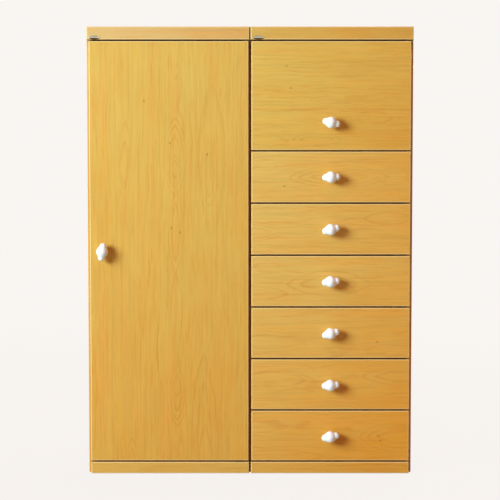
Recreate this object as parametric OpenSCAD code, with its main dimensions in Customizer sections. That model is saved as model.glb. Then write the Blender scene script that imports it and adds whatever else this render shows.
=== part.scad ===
// A dresser made of two veneered cabinets that stand side by side. The left one is a wardrobe with
// one full-height door, and the right one is a chest with a lift-up flap over a column of drawers.
// Millimetres. X runs along the front from left to right, Y goes from the front to the back and Z is
// up. The origin is on the floor under the middle of the whole, knobs included.
// Most shapes are drawn in the frame of one cabinet: x = 0 is its side at the seam between the
// cabinets, x grows to its outer side, and y = 0 is the face of its fronts.

/* [Cabinets] */
// Width of each cabinet
unit_w = 500; // [440:5:640]
// Depth from the face of the fronts to the back edge
depth = 520; // [500:5:620]
// Thickness of the sides, tops and bottoms
board_t = 18; // [17:1:22]
// Thickness of the back panels
back_t = 4; // [3:0.5:6]
// Width of the rebate that a back panel lies in
rebate_w = 8; // [6:1:10]
// Depth of the grooves that the shelf and the divider stand in
dado_d = 6; // [4:0.5:8]
// Looseness of a board in its groove
board_fit = 0.1; // [0.05:0.05:0.3]
// Rounding of the front corners of the sides
side_edge_r = 1.5; // [1:0.5:3]

/* [Rows of the front] */
// From the floor to the middle of the gap over the plinths
plinth_pitch = 38; // [30:1:90]
// Number of drawers
drawer_count = 6; // [4:1:7]
// From one drawer to the next
drawer_pitch = 160; // [150:2:220]
// Height of the flap's row
flap_pitch = 336; // [300:4:420]
// From the middle of the gap under the fascias to the top
fascia_pitch = 42; // [36:1:80]

/* [Fronts] */
// Thickness of the door, the flap and the drawer fronts
front_t = 19; // [16:1:22]
// Gap between one front and the next above it
front_gap = 4; // [2.5:0.5:5]
// Free space between the back of the fronts and the edges of the cabinet
front_clear = 3; // [2.5:0.5:5]
// Rounding of the edges of the fronts
edge_r = 2.5; // [1:0.5:4]
// Set-back of the fronts from the outer side of a cabinet
outer_reveal = 8; // [6:0.5:12]
// Set-back of the fronts from the seam
seam_reveal = 4; // [3.5:0.5:6]
// Set-back of the fascia's ends
fascia_inset = 1.5; // [0.5:0.5:5]
// Set-back of the plinth from the seam
plinth_inset = 2.5; // [0.5:0.5:5]

/* [Knobs] */
// Length of a knob across the front
knob_l = 56; // [48:1:64]
// Diameter of its thick middle
knob_d = 37; // [34:1:40]
// Diameter of its two end lobes
knob_lobe_d = 22; // [18:1:24]
// Rounding of the thick middle
knob_bulge_r = 15; // [10:0.5:16]
// Slope of the cone between the middle and a lobe
knob_slope = 36; // [34:1:42]
// How much steeper the cone at a knob's blunter end is than a line that touches its middle and its lobe
knob_blunt_more = 3; // [2:0.5:6]
// Hollow rounding between the cone and a lobe
knob_waist_r = 5; // [2:0.5:8]
// From the face of a front to the axis of its knob
knob_rise = 21; // [20:0.5:26]
// Diameter of the stem
knob_stem_d = 24; // [18:1:26]
// Diameter of the foot that stands on the front
knob_foot_d = 28; // [28:1:34]
// Thickness of the foot
knob_foot_t = 2; // [1.5:0.5:3]
// Diameter of a knob screw
knob_screw_d = 4; // [3:0.5:5]
// Depth of the screw in the knob
knob_screw_in = 12; // [8:1:14]
// Height of the flap's knob above the flap's lower edge
flap_knob_h = 84; // [50:1:150]
// Distance of the door's knob from the door's free edge
door_knob_in = 40; // [30:1:80]
// Height of the door's knob above the middle of the door
door_knob_up = 3; // [-200:1:200]
// Turn of the door's knob, clockwise as seen from the front
door_knob_turn = 99; // [60:1:120]
// Turn of the flap's knob
flap_knob_turn = 13; // [-30:1:30]

/* [Pivots] */
// Distance of a pivot from the edge of the door or the flap
pivot_in = 8; // [8:0.5:10]
// Distance of a pivot behind the rounding of the edge
pivot_back = 5; // [4.5:0.5:6]
// Diameter of the door's pivot pins
door_pin_d = 6; // [4:0.5:6]
// Diameter of the flap's pivot pins
flap_pin_d = 5; // [4:0.5:6]
// Length of a pivot pin inside the door or the flap
pin_in = 10; // [8:1:16]
// Radial looseness of a pin
pin_clear = 0.05; // [0.02:0.01:0.1]
// Thickness of the pivot plates
plate_t = 2.5; // [1.5:0.5:3]
// Gap between a thrust washer and the door
thrust_gap = 0.3; // [0.1:0.1:0.5]

/* [Flap stay] */
// Distance of both ends of the stay from the flap's pivot
stay_r = 110; // [90:5:130]
// Angle between the two ends of the stay when the flap is shut
stay_shut = 15; // [14:1:20]
// Angle that the flap opens to
flap_open = 90; // [75:5:95]
// Distance of the stay's pivot behind the flap
stay_stand = 12; // [11:0.5:16]
// Width of the stay's arm
stay_w = 16; // [14:1:18]
// Thickness of the stay's arm
stay_t = 3; // [2:0.5:4]
// Distance of the arm from the cabinet's side
stay_off = 4; // [3.5:0.5:6]
// Diameter of the stud and of the pivot
stud_d = 6; // [5:0.5:7]
// Gap between the stud and each side of the slot
slot_gap = 0.3; // [0.2:0.05:0.5]

/* [Wardrobe space] */
// Height of the space over the hat shelf
hat_space_h = 240; // [180:10:360]
// Thickness of the hat shelf and the divider
shelf_t = 18; // [16:1:22]
// Set-back of the hat shelf from the cabinet's front edge
shelf_setback = 20; // [5:5:60]
// Diameter of the hanging rail
rail_d = 25; // [20:1:32]
// Wall of the hanging rail
rail_wall = 1.5; // [1:0.1:2.5]
// From the underside of the shelf to the axis of the rail
rail_drop = 60; // [50:5:90]
// Thickness of a rail socket's base
socket_base_t = 3; // [2:0.5:5]
// Depth of a rail socket's cup
socket_cup_l = 14; // [10:1:20]
// Wall of a rail socket's cup
socket_wall = 3; // [2:0.5:4]
// Width of the flange around a rail socket's cup
socket_flange_w = 10; // [8:1:14]

/* [Drawers] */
// Free space between a drawer box and the back panel
drawer_room = 47; // [20:1:150]
// Height of a drawer box
drawer_box_h = 118; // [90:2:126]
// Height of the box over the lower edge of the front
drawer_lift = 14; // [10:1:18]
// Thickness of a drawer's sides
drawer_side_t = 15; // [14:1:18]
// Thickness of a drawer's back
drawer_back_t = 12; // [10:1:15]
// Thickness of a drawer's bottom
drawer_bottom_t = 4; // [3:0.5:6]
// Height of the bottom's groove over the lower edge of the box
bottom_lift = 8; // [6:1:12]
// Depth of the bottom's groove
bottom_groove_d = 5; // [4:0.5:6]
// Free space between a drawer and the cabinet's side
drawer_clear = 1; // [0.8:0.1:2]
// Thickness of a runner strip
runner_t = 9; // [8:0.5:10]
// Height of a runner strip
runner_h = 16; // [12:1:20]
// Running gap around a runner
run_gap = 0.3; // [0.2:0.1:0.5]
// Height of a runner's middle over the lower edge of the box
runner_rise = 59; // [40:1:66]
// Set-back of a runner's nose from the cabinet's front edge
runner_setback = 8; // [5:1:15]

/* [Small fittings] */
// Length of a badge
badge_w = 30; // [24:1:34]
// Height of a badge
badge_h = 11; // [9:0.5:13]
// Thickness of a badge
badge_t = 1.8; // [1:0.2:3]
// Distance of a badge's middle from the cabinet's left side
badge_x = 25; // [22:1:60]
// Distance of a badge's middle above the lower edge of the fascia
badge_z = 8; // [8:0.5:16]
// Diameter of the bolts that join the two cabinets
connector_d = 7; // [5:0.5:8]
// Diameter of their heads
connector_head_d = 16; // [12:1:18]
// Thickness of their heads
connector_head_t = 2; // [1.5:0.5:3]
// Distance of a bolt from the front edge of the sides and from the back panels
connector_edge = 40; // [30:5:80]
// Height of the magnetic catch over the door's knob
catch_rise = 160; // [60:10:240]
// Length of the catch
catch_l = 46; // [36:2:60]

/* [Hidden] */
$fn = 48;

pieces_of_a_drawer = ["front", "box", "bottom", "knob", "knob_screw"];

// Turns of the drawer knobs on their screws, from the top drawer down
drawer_knob_turns = [-3, -16, -8, -17, -6, -12];

veneer = [0.85, 0.66, 0.35];
drawer_wood = [0.89, 0.79, 0.60];
hardboard = [0.66, 0.50, 0.32];
ceramic = [0.96, 0.96, 0.95];
steel = [0.72, 0.72, 0.70];
bronzed_steel = [0.36, 0.29, 0.21];

// Places along Y
carcass_y = front_t + front_clear;
inner_back_y = depth - back_t;
knob_reach = knob_rise + knob_d / 2;
middle_y = (depth - knob_reach) / 2;

// Places along Z
flap_z = plinth_pitch + drawer_count * drawer_pitch;
fascia_z = flap_z + flap_pitch;
height = fascia_z + fascia_pitch;
plinth_top = plinth_pitch - front_gap / 2;
door_low = plinth_pitch + front_gap / 2;
door_high = fascia_z - front_gap / 2;
flap_low = flap_z + front_gap / 2;
fascia_low = fascia_z + front_gap / 2;
divider_low = flap_z - shelf_t / 2;
shelf_low = height - board_t - hat_space_h - shelf_t;
door_knob_z = (door_low + door_high) / 2 + door_knob_up;

// Places along X in the frame of one cabinet
front_w = unit_w - seam_reveal - outer_reveal;
front_end = unit_w - outer_reveal;
front_middle = seam_reveal + front_w / 2;
inner_w = unit_w - 2 * board_t;

// A pivot stands a little behind the rounding of the front, so that an opening corner clears the gap.
pivot_y = edge_r + pivot_back;
door_pivot_x = seam_reveal + pivot_in;
flap_pivot_z = door_high - pivot_in;

// The stay: its pivot B on the flap and its stud S on the side are equally far from the flap's
// pivot P, so the arm always turns by half of the flap's angle.
stay_b_y = front_t + stay_stand;
stay_lean = asin((stay_b_y - pivot_y) / stay_r);
stay_b_z = flap_pivot_z - stay_r * cos(stay_lean);
stay_s_y = pivot_y + stay_r * sin(stay_lean + stay_shut);
stay_s_z = flap_pivot_z - stay_r * cos(stay_lean + stay_shut);
stay_tilt = atan2(stay_s_z - stay_b_z, stay_s_y - stay_b_y);
stay_reach_shut = 2 * stay_r * sin(stay_shut / 2);
stay_reach_open = 2 * stay_r * sin((stay_shut + flap_open) / 2);
slot_spare = 1;
arm_x = unit_w - board_t - stay_off - stay_t;

// Drawer boxes and their runners
box_x = board_t + drawer_clear;
box_w = inner_w - 2 * drawer_clear;
box_back_y = inner_back_y - drawer_room;
drawer_box_l = box_back_y - front_t;
runner_y = carcass_y + runner_setback;
runner_l = inner_back_y - runner_setback - runner_y;

function row_z(n) = plinth_pitch + (drawer_count - n) * drawer_pitch;
function box_z(n) = row_z(n) + front_gap / 2 + drawer_lift;
function runner_z(n) = box_z(n) + runner_rise;

// Moves the chest cabinet from its own frame to its place in the dresser
module chest() {
    translate([0, -middle_y, 0]) children();
}

// Moves the wardrobe cabinet, which is the mirror image of the chest's frame, to its place
module wardrobe() {
    translate([0, -middle_y, 0]) mirror([1, 0, 0]) children();
}

// Draws the outer side of a cabinet from the shape of its seam side
module at_outer_side() {
    translate([unit_w, 0, 0]) mirror([1, 0, 0]) children();
}

// A rectangle with the corners at y = 0 rounded by front_r and the far ones by back_r
module rounded_section(w, t, front_r, back_r) {
    translate([0, front_r]) square([w, t - front_r - back_r]);
    translate([front_r, 0]) square([w - 2 * front_r, t / 2]);
    translate([back_r, t / 2]) square([w - 2 * back_r, t / 2]);
    for (x = [front_r, w - front_r]) translate([x, front_r]) circle(front_r);
    if (back_r > 0) for (x = [back_r, w - back_r]) translate([x, t - back_r]) circle(back_r);
}

// An upright board, face at y = 0, with every edge of its face rounded by front_r
module edged_board(w, t, h, front_r, back_r) {
    intersection() {
        linear_extrude(h) rounded_section(w, t, front_r, back_r);
        translate([w, 0, 0]) rotate([0, -90, 0]) linear_extrude(w) rounded_section(h, t, front_r, back_r);
    }
}

// A door, flap or drawer front that fills the rows from z_low to z_high
module front_board(z_low, z_high) {
    translate([seam_reveal, 0, z_low + front_gap / 2])
        edged_board(front_w, front_t, z_high - z_low - front_gap, edge_r, edge_r);
}

// A cylinder along Y, from y = 0 backwards
module bar_y(d, l) {
    rotate([-90, 0, 0]) cylinder(d = d, h = l);
}

// A cylinder along X
module bar_x(d, l) {
    rotate([0, 90, 0]) cylinder(d = d, h = l);
}

// The space that the back panel takes in the boards around it
module back_space(fit) {
    translate([board_t - rebate_w + fit, inner_back_y, plinth_top - rebate_w + fit])
        cube([inner_w + 2 * (rebate_w - fit), back_t, height - board_t - plinth_top + 2 * (rebate_w - fit)]);
}

// The space that a shelf takes, from its underside up, in the grooves of both sides
module shelf_space(z, setback, end_fit, top_fit) {
    translate([board_t - dado_d + end_fit, carcass_y + setback, z])
        cube([inner_w + 2 * (dado_d - end_fit), inner_back_y - carcass_y - setback, shelf_t + top_fit]);
}

// Both cabinets: boards

// A bare side at the seam, with the rebate for the back
module side_board() {
    difference() {
        translate([0, carcass_y, 0])
            linear_extrude(height) rounded_section(board_t, depth - carcass_y, side_edge_r, 0);
        back_space(0);
    }
}

module connector_heights() {
    for (z = [row_z(drawer_count - 1), row_z(1)]) translate([0, 0, z]) children();
}

module connector_places() {
    connector_heights() for (y = [carcass_y + connector_edge, inner_back_y - connector_edge])
        translate([0, y, 0]) children();
}

// The hole for a connector, from the seam through one side
module connector_hole() {
    bar_x(connector_d + 2 * board_fit, board_t);
    translate([board_t - connector_head_t, 0, 0])
        bar_x(connector_head_d + 2 * board_fit, connector_head_t);
}

module top_board() {
    difference() {
        translate([board_t, carcass_y, height - board_t]) cube([inner_w, depth - carcass_y, board_t]);
        back_space(0);
    }
}

module bottom_board() {
    difference() {
        translate([board_t, carcass_y, plinth_top - board_t]) cube([inner_w, depth - carcass_y, board_t]);
        back_space(0);
    }
}

module fascia_board() {
    translate([fascia_inset, 0, fascia_low])
        edged_board(unit_w - 2 * fascia_inset, carcass_y, height - fascia_low, edge_r, 0);
}

module plinth_board() {
    translate([plinth_inset, 0, 0])
        edged_board(unit_w - plinth_inset - outer_reveal, carcass_y, plinth_top, edge_r, 0);
}

// Knobs

knob_lobe_r = knob_lobe_d / 2;
lobe_at = knob_l / 2 - knob_lobe_r;
bulge_at = knob_d / 2 - knob_bulge_r;
// Curves that follow each other overlap by this much, so that they cross and never only graze
knob_blend = 0.08;
knob_blunt_slope = asin((knob_bulge_r - knob_lobe_r) / norm([lobe_at, bulge_at]))
    + atan2(bulge_at, lobe_at) + knob_blunt_more;

// One end of the knob's outline: half of the middle, the cone, the waist and the lobe. The cone's line
// lies cone_out from the knob's centre. The waist's hollow circle touches that line and the circle of
// the lobe: its centre lies waist_out across the line from the knob's centre, and waist_along along it.
module knob_end_outline(slope) {
    across_slope = [sin(slope), cos(slope)];
    along_slope = [cos(slope), -sin(slope)];
    cone_out = bulge_at * cos(slope) + knob_bulge_r - knob_blend;
    waist_out = cone_out + knob_waist_r - knob_blend;
    lobe_to_waist = knob_lobe_r + knob_waist_r - knob_blend;
    waist_along = lobe_at * cos(slope)
        - sqrt(pow(lobe_to_waist, 2) - pow(waist_out - lobe_at * sin(slope), 2));
    waist = waist_out * across_slope + waist_along * along_slope;
    cone_foot = waist - (knob_waist_r - knob_blend) * across_slope;
    cone_head = [0, bulge_at] + (knob_bulge_r - knob_blend) * across_slope;
    lobe_touch = [lobe_at, 0] + (waist - [lobe_at, 0]) * (knob_lobe_r - knob_blend / 2) / lobe_to_waist;
    difference() {
        union() {
            translate([lobe_at, 0]) circle(knob_lobe_r);
            polygon([[0, 0], [0, bulge_at], cone_head, cone_foot, waist, lobe_touch, [lobe_at, 0]]);
        }
        translate(waist) circle(knob_waist_r);
    }
}

// The knob's outline on one side of its axis: a thick middle, and a cone, a waist and a lobe at each end
module knob_outline() {
    difference() {
        union() {
            translate([0, bulge_at]) circle(knob_bulge_r);
            knob_end_outline(knob_slope);
            mirror([1, 0]) knob_end_outline(knob_blunt_slope);
        }
        translate([-knob_l, -knob_l]) square([2 * knob_l, knob_l]);
    }
}

// A turned knob that lies across its stem, seated at y = 0 and turned about the stem
module knob(turn) {
    rotate([0, turn, 0]) difference() {
        union() {
            translate([0, -knob_rise, 0]) rotate([0, 90, 0]) rotate_extrude()
                rotate([0, 0, 90]) mirror([0, 1, 0]) knob_outline();
            rotate([90, 0, 0]) cylinder(d = knob_stem_d, h = knob_rise);
            rotate([90, 0, 0]) cylinder(d = knob_foot_d, h = knob_foot_t);
        }
        rotate([90, 0, 0]) cylinder(d = knob_screw_d + 2 * board_fit, h = knob_screw_in + hole_spare);
    }
}

// The screw that holds a knob, with its head behind the front
module knob_screw() {
    translate([0, -knob_screw_in, 0]) bar_y(knob_screw_d, knob_screw_in + front_t);
    translate([0, front_t, 0]) bar_y(2 * knob_screw_d, 0.6 * knob_screw_d);
}

module knob_screw_hole() {
    bar_y(knob_screw_d + 4 * board_fit, front_t);
}

module at_door_knob() {
    translate([front_end - door_knob_in, 0, door_knob_z]) children();
}

module at_flap_knob() {
    translate([front_middle, 0, flap_low + flap_knob_h]) children();
}

module at_drawer_knob(n) {
    translate([front_middle, 0, row_z(n) + drawer_pitch / 2]) children();
}

// Pivots of the door and of the flap

pivot_plate_w = 9;
pivot_plate_l = 44;
web_t = 2;
web_gap = 1;
flap_plate_h = 32;
// A hole is this much deeper than the pin or the screw in it
hole_spare = 1;

// The plate that carries a pin of the door, let into the fascia or the plinth
module door_pivot_plate(fit) {
    translate([door_pivot_x - pivot_plate_w / 2 - fit, pivot_y - pivot_plate_w / 2 - fit, -fit])
        cube([pivot_plate_l + 2 * fit, pivot_plate_w + 2 * fit, plate_t + fit]);
}

module door_pivots() {
    translate([0, 0, fascia_low]) door_pivot_plate(0);
    translate([door_pivot_x, pivot_y, door_high - pin_in])
        cylinder(d = door_pin_d, h = fascia_low - door_high + pin_in);
    translate([0, 0, plinth_top - plate_t]) door_pivot_plate(0);
    translate([door_pivot_x, pivot_y, plinth_top])
        cylinder(d = door_pin_d, h = door_low - plinth_top + pin_in);
    translate([door_pivot_x, pivot_y, plinth_top])
        cylinder(d = pivot_plate_w, h = door_low - plinth_top - thrust_gap);
}

module door_pin_holes() {
    hole_l = pin_in + hole_spare;
    for (z = [door_low, door_high - hole_l]) translate([door_pivot_x, pivot_y, z])
        cylinder(d = door_pin_d + 2 * pin_clear, h = hole_l);
}

// The part of a flap pivot that is let into the front edge of a side
module flap_pivot_flange(reveal, fit) {
    translate([reveal - web_gap - web_t - fit, carcass_y - fit, flap_pivot_z - flap_plate_h / 2 - fit])
        cube([board_t + web_gap - reveal + 2 * fit, plate_t + fit, flap_plate_h + 2 * fit]);
}

// A flap pivot on the seam side: flange, a web that comes forward past the flap's end, and the pin
module flap_pivot(reveal) {
    flap_pivot_flange(reveal, 0);
    translate([reveal - web_gap - web_t, 0, 0]) {
        translate([0, pivot_y, flap_pivot_z]) bar_x(2 * flap_pin_d, web_t);
        translate([0, pivot_y, flap_pivot_z - flap_pin_d])
            cube([web_t, carcass_y + plate_t - pivot_y, 2 * flap_pin_d]);
        translate([web_t, pivot_y, flap_pivot_z]) bar_x(flap_pin_d, web_gap + pin_in);
    }
}

module flap_pin_hole(x) {
    translate([x, pivot_y, flap_pivot_z]) bar_x(flap_pin_d + 2 * pin_clear, pin_in + hole_spare);
}

// Stay of the flap

stay_head_rim = 2.5;
stay_head_d = stud_d + 2 * stay_head_rim;
stay_foot_rim = 2;
stay_head_t = 1.5;
stay_play = 0.5;
ear_t = 2;
ear_gap = 1;
foot_w = 20;
foot_h = 26;
ear_x = arm_x - ear_gap - ear_t;

// The stud on the cabinet's side that the slot of the arm runs on
module stay_stud() {
    translate([0, stay_s_y, stay_s_z]) {
        translate([arm_x - stay_play - stay_head_t, 0, 0]) bar_x(stay_head_d, stay_head_t);
        translate([arm_x - stay_play, 0, 0]) bar_x(stud_d, unit_w - board_t - arm_x + stay_play);
        translate([unit_w - board_t - stay_head_t, 0, 0]) bar_x(stay_head_d + 2 * stay_foot_rim, stay_head_t);
    }
}

// A round-ended bar in the plane of two axes, from the first point along its length
module round_bar(w, from, to) {
    translate([from, -w / 2]) square([to - from, w]);
    for (x = [from, to]) translate([x, 0]) circle(d = w);
}

module stay_arm() {
    translate([arm_x, stay_b_y, stay_b_z]) rotate([stay_tilt, 0, 0]) rotate([90, 0, 90])
        linear_extrude(stay_t) difference() {
            round_bar(stay_w, 0, stay_reach_open + slot_spare + stud_d / 2);
            round_bar(stud_d + 2 * slot_gap, stay_reach_shut - slot_spare, stay_reach_open + slot_spare);
            circle(d = stud_d + 2 * pin_clear);
        }
}

// The bracket behind the flap: a foot, an ear and the pin that the arm turns on
module stay_bracket() {
    translate([ear_x + ear_t - foot_w, front_t, stay_b_z - foot_h / 2]) cube([foot_w, ear_t, foot_h]);
    translate([ear_x, stay_b_y, stay_b_z]) bar_x(stay_w, ear_t);
    translate([ear_x, front_t, stay_b_z - stay_w / 2]) cube([ear_t, stay_stand, stay_w]);
    translate([ear_x + ear_t, stay_b_y, stay_b_z]) bar_x(stud_d, ear_gap + stay_t + stay_play);
    translate([arm_x + stay_t + stay_play, stay_b_y, stay_b_z]) bar_x(stay_head_d, stay_head_t);
}

// Drawers

// The space that a drawer's bottom takes in the grooves of its box and its front
module bottom_space(n, fit) {
    translate([
        box_x + drawer_side_t - bottom_groove_d + fit,
        front_t - bottom_groove_d + fit,
        box_z(n) + bottom_lift
    ])
        cube([
            box_w - 2 * (drawer_side_t - bottom_groove_d + fit),
            drawer_box_l + bottom_groove_d - fit,
            drawer_bottom_t + board_fit - fit
        ]);
}

// A side of a drawer box, with the runner's groove in its outer face
module box_side(n) {
    top_r = drawer_side_t / 6;
    groove_h = runner_h + 2 * run_gap;
    groove_y = runner_y - run_gap;
    difference() {
        translate([box_x, box_back_y, box_z(n)]) rotate([90, 0, 0])
            linear_extrude(drawer_box_l) translate([drawer_side_t, drawer_box_h]) rotate(180)
                rounded_section(drawer_side_t, drawer_box_h, top_r, 0);
        translate([box_x, groove_y, runner_z(n) - groove_h / 2])
            cube([runner_t - drawer_clear + run_gap, box_back_y - groove_y, groove_h]);
    }
}

module box_back(n) {
    back_low = box_z(n) + bottom_lift + drawer_bottom_t + board_fit;
    translate([box_x + drawer_side_t, box_back_y - drawer_back_t, back_low])
        cube([box_w - 2 * drawer_side_t, drawer_back_t, box_z(n) + drawer_box_h - back_low]);
}

// A runner strip on the seam side, with its nose cut back so that a drawer finds it
module runner(n) {
    nose = runner_h / 4;
    translate([board_t, runner_y, runner_z(n)]) rotate([90, 0, 90]) linear_extrude(runner_t)
        polygon([
            [0, nose - runner_h / 2], [nose, -runner_h / 2], [runner_l, -runner_h / 2],
            [runner_l, runner_h / 2], [nose, runner_h / 2], [0, runner_h / 2 - nose]
        ]);
}

// Small fittings

rail_y = (carcass_y + inner_back_y) / 2;
rail_z = shelf_low - rail_drop;
catch_w = 14;
catch_depth = 40;
strike_t = 1.5;
strike_gap = 0.3;

module rail_socket() {
    translate([board_t, rail_y, rail_z]) difference() {
        union() {
            bar_x(rail_d + 2 * socket_wall + 2 * socket_flange_w, socket_base_t);
            bar_x(rail_d + 2 * socket_wall, socket_base_t + socket_cup_l);
        }
        translate([socket_base_t, 0, 0]) bar_x(rail_d + 2 * board_fit, socket_cup_l);
    }
}

// An almond-shaped outline with blunt ends: two long arcs, cut by a circle as wide as the badge
module badge_outline(w, h) {
    tip = w / 2 + 2;
    arc_r = (pow(tip, 2) + pow(h / 2, 2)) / h;
    intersection() {
        translate([0, arc_r - h / 2]) circle(arc_r, $fn = 96);
        translate([0, h / 2 - arc_r]) circle(arc_r, $fn = 96);
        circle(d = w);
    }
}

// A blank badge with a raised rim
module badge() {
    rim = 1.2;
    rotate([90, 0, 0]) difference() {
        linear_extrude(badge_t) badge_outline(badge_w, badge_h);
        translate([0, 0, badge_t / 2]) linear_extrude(badge_t)
            badge_outline(badge_w - 2 * rim, badge_h - 2 * rim);
    }
}

// A magnetic catch on the outer side, facing a strike plate on the back of the door
module magnetic_catch() {
    catch_face = front_t + strike_t + strike_gap;
    translate([unit_w - board_t - catch_w, catch_face, door_knob_z + catch_rise - catch_l / 2])
        cube([catch_w, catch_depth, catch_l]);
}

module strike_plate() {
    translate([unit_w - board_t - catch_w, front_t, door_knob_z + catch_rise - catch_l / 2])
        cube([catch_w, strike_t, catch_l]);
}

// Wardrobe cabinet

module wardrobe_left_side() {
    color(veneer) wardrobe() difference() {
        at_outer_side() side_board();
        shelf_space(shelf_low, shelf_setback, 0, board_fit);
    }
}

module wardrobe_right_side() {
    color(veneer) wardrobe() difference() {
        side_board();
        shelf_space(shelf_low, shelf_setback, 0, board_fit);
        connector_places() connector_hole();
    }
}

module wardrobe_top() {
    color(veneer) wardrobe() top_board();
}

module wardrobe_bottom() {
    color(veneer) wardrobe() bottom_board();
}

module wardrobe_back() {
    color(hardboard) wardrobe() back_space(board_fit);
}

module wardrobe_fascia() {
    color(veneer) wardrobe() difference() {
        fascia_board();
        translate([0, 0, fascia_low]) door_pivot_plate(board_fit);
    }
}

module wardrobe_plinth() {
    color(veneer) wardrobe() difference() {
        plinth_board();
        translate([0, 0, plinth_top]) mirror([0, 0, 1]) door_pivot_plate(board_fit);
    }
}

module hat_shelf() {
    color(veneer) wardrobe() shelf_space(shelf_low, shelf_setback, board_fit, 0);
}

module hanging_rail() {
    rail_l = inner_w - 2 * socket_base_t;
    color(steel) wardrobe() translate([board_t + socket_base_t, rail_y, rail_z]) difference() {
        bar_x(rail_d, rail_l);
        bar_x(rail_d - 2 * rail_wall, rail_l);
    }
}

module rail_sockets() {
    color(steel) wardrobe() {
        rail_socket();
        at_outer_side() rail_socket();
    }
}

// Chest cabinet

divider_setback = 2;

module chest_left_side() {
    color(veneer) chest() difference() {
        side_board();
        shelf_space(divider_low, divider_setback, 0, board_fit);
        connector_places() connector_hole();
        flap_pivot_flange(seam_reveal, board_fit);
    }
}

module chest_right_side() {
    color(veneer) chest() difference() {
        at_outer_side() side_board();
        shelf_space(divider_low, divider_setback, 0, board_fit);
        at_outer_side() flap_pivot_flange(outer_reveal, board_fit);
    }
}

module chest_top() {
    color(veneer) chest() top_board();
}

module chest_bottom() {
    color(veneer) chest() bottom_board();
}

module chest_back() {
    color(hardboard) chest() back_space(board_fit);
}

module chest_fascia() {
    color(veneer) chest() fascia_board();
}

module chest_plinth() {
    color(veneer) chest() plinth_board();
}

module chest_divider() {
    color(veneer) chest() shelf_space(divider_low, divider_setback, board_fit, 0);
}

module drawer_runners() {
    color(drawer_wood) chest() for (n = [1 : drawer_count]) {
        runner(n);
        at_outer_side() runner(n);
    }
}

// Fittings of the cabinets

module module_connectors() {
    color(steel) translate([0, -middle_y, 0]) connector_places() for (side = [0, 1]) mirror([side, 0, 0]) {
        bar_x(connector_d, board_t);
        translate([board_t - connector_head_t, 0, 0]) bar_x(connector_head_d, connector_head_t);
    }
}

module cabinet_fittings() {
    color(bronzed_steel) {
        wardrobe() {
            door_pivots();
            magnetic_catch();
        }
        chest() {
            flap_pivot(seam_reveal);
            at_outer_side() flap_pivot(outer_reveal);
            stay_stud();
        }
    }
}

module badges() {
    color(steel) translate([0, -middle_y, fascia_low + badge_z]) for (x = [badge_x - unit_w, badge_x])
        translate([x, 0, 0]) badge();
}

// Door

module door_panel() {
    color(veneer) wardrobe() difference() {
        front_board(plinth_pitch, fascia_z);
        door_pin_holes();
        at_door_knob() knob_screw_hole();
    }
}

module door_knob() {
    color(ceramic) wardrobe() at_door_knob() knob(-door_knob_turn);
}

module door_fittings() {
    color(steel) wardrobe() {
        at_door_knob() knob_screw();
        strike_plate();
    }
}

// Flap

module flap_panel() {
    color(veneer) chest() difference() {
        front_board(flap_z, fascia_z);
        flap_pin_hole(seam_reveal);
        flap_pin_hole(front_end - pin_in - hole_spare);
        at_flap_knob() knob_screw_hole();
    }
}

module flap_knob() {
    color(ceramic) chest() at_flap_knob() knob(flap_knob_turn);
}

module flap_knob_screw() {
    color(steel) chest() at_flap_knob() knob_screw();
}

module flap_stay_bracket() {
    color(steel) chest() stay_bracket();
}

module flap_stay_arm() {
    color(steel) chest() stay_arm();
}

// Drawers

module drawer_front(n) {
    color(veneer) chest() difference() {
        front_board(row_z(n), row_z(n) + drawer_pitch);
        bottom_space(n, 0);
        at_drawer_knob(n) knob_screw_hole();
    }
}

module drawer_box(n) {
    color(drawer_wood) chest() {
        difference() {
            union() {
                box_side(n);
                at_outer_side() box_side(n);
                box_back(n);
            }
            bottom_space(n, 0);
        }
    }
}

module drawer_bottom(n) {
    color(hardboard) chest() bottom_space(n, board_fit);
}

module drawer_knob(n) {
    turn = drawer_knob_turns[(n - 1) % len(drawer_knob_turns)];
    color(ceramic) chest() at_drawer_knob(n) knob(turn);
}

module drawer_knob_screw(n) {
    color(steel) chest() at_drawer_knob(n) knob_screw();
}

wardrobe_left_side();
wardrobe_right_side();
wardrobe_top();
wardrobe_bottom();
wardrobe_back();
wardrobe_fascia();
wardrobe_plinth();
hat_shelf();
hanging_rail();
rail_sockets();
chest_left_side();
chest_right_side();
chest_top();
chest_bottom();
chest_back();
chest_fascia();
chest_plinth();
chest_divider();
drawer_runners();
module_connectors();
cabinet_fittings();
badges();
door_panel();
door_knob();
door_fittings();
flap_panel();
flap_knob();
flap_knob_screw();
flap_stay_bracket();
flap_stay_arm();
for (n = [1 : drawer_count]) {
    drawer_front(n);
    drawer_box(n);
    drawer_bottom(n);
    drawer_knob(n);
    drawer_knob_screw(n);
}
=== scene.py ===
# A dresser made of two veneered cabinets: a wardrobe, and a chest with a flap over six drawers
import math

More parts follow.
